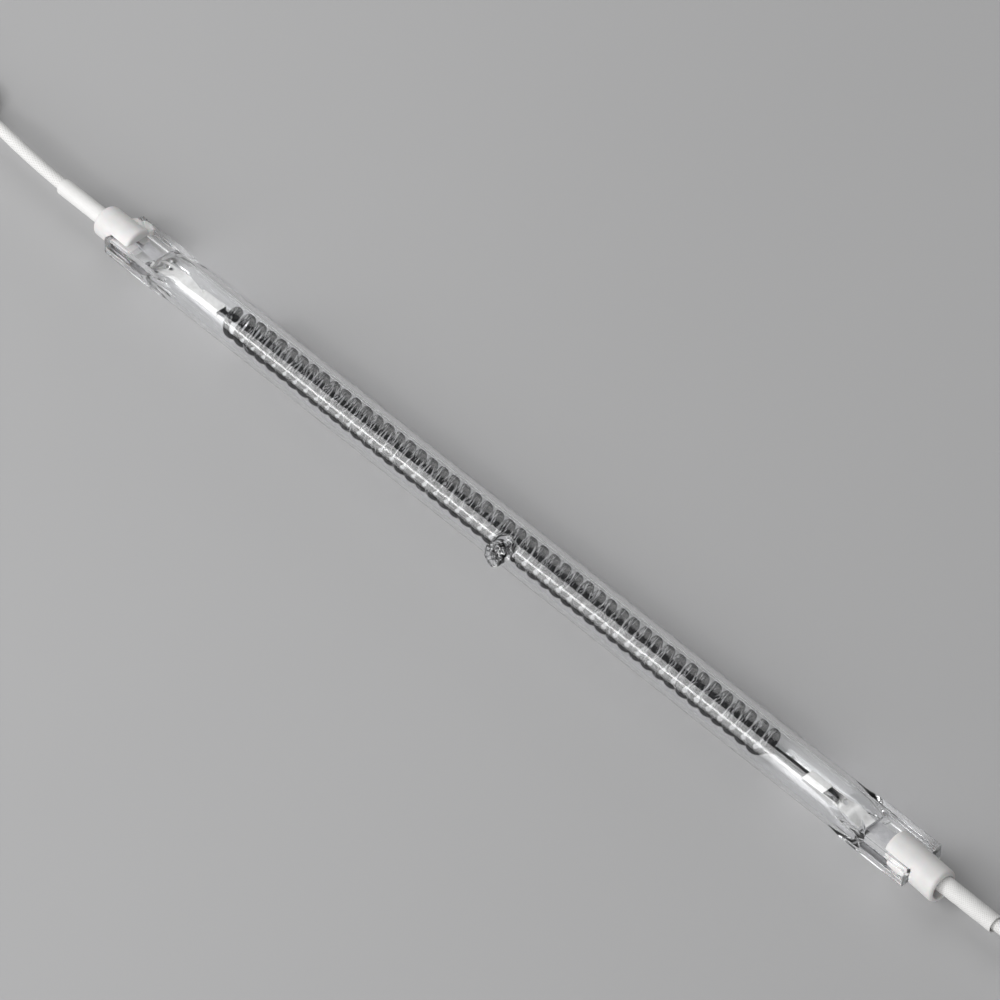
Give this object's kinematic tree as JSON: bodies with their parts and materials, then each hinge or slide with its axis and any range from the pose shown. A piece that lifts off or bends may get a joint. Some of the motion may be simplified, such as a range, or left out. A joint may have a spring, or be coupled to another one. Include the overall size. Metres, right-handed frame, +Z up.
{
  "type": "quartz heating tube",
  "caption": "Clear quartz heating tube with a dark carbon-fibre coil, flat pinch seals, slotted ceramic caps and braided leads.",
  "frame": {"origin": "on the surface that the tube lies on, below the middle of the tube's length and width", "axes": "+X along the tube towards the end with the longer bare tail of the coil, +Y away from the side of the exhaust tip, +Z up"},
  "size_m": [0.4196, 0.0188, 0.0106],
  "materials": {
    "quartz": "clear, fire polished",
    "carbon_fibre": "dark grey fibre rope",
    "bright_nickel": "bright",
    "molybdenum": "dull grey",
    "white_ceramic": "smooth white fired ceramic",
    "white_cement": "chalky white cement",
    "glass_braid": "white braided glass fibre",
    "tinned_copper": "satin tin",
    "white_plastic": "matt white"
  },
  "bodies": {
    "root": {"quartz_tube": "quartz", "heating_coil": "carbon_fibre", "coil_clamp_left": "bright_nickel", "coil_clamp_right": "bright_nickel", "connector_strip_left": "bright_nickel", "connector_strip_right": "bright_nickel", "foil_left": "molybdenum", "foil_right": "molybdenum", "outer_pin_left": "molybdenum", "outer_pin_right": "molybdenum", "splice_ferrule_left": "bright_nickel", "splice_ferrule_right": "bright_nickel", "ceramic_cap_left": "white_ceramic", "ceramic_cap_right": "white_ceramic", "cement_left": "white_cement", "cement_right": "white_cement", "lead_sleeve_left": "glass_braid", "lead_sleeve_right": "glass_braid", "lead_left": "glass_braid", "lead_right": "glass_braid", "hank_left": "glass_braid", "hank_right": "glass_braid", "hank_tie_left": "white_plastic", "hank_tie_right": "white_plastic", "ring_terminal_left": "tinned_copper", "ring_terminal_right": "tinned_copper", "terminal_sleeve_left": "white_plastic", "terminal_sleeve_right": "white_plastic"}
  },
  "joints": []
}
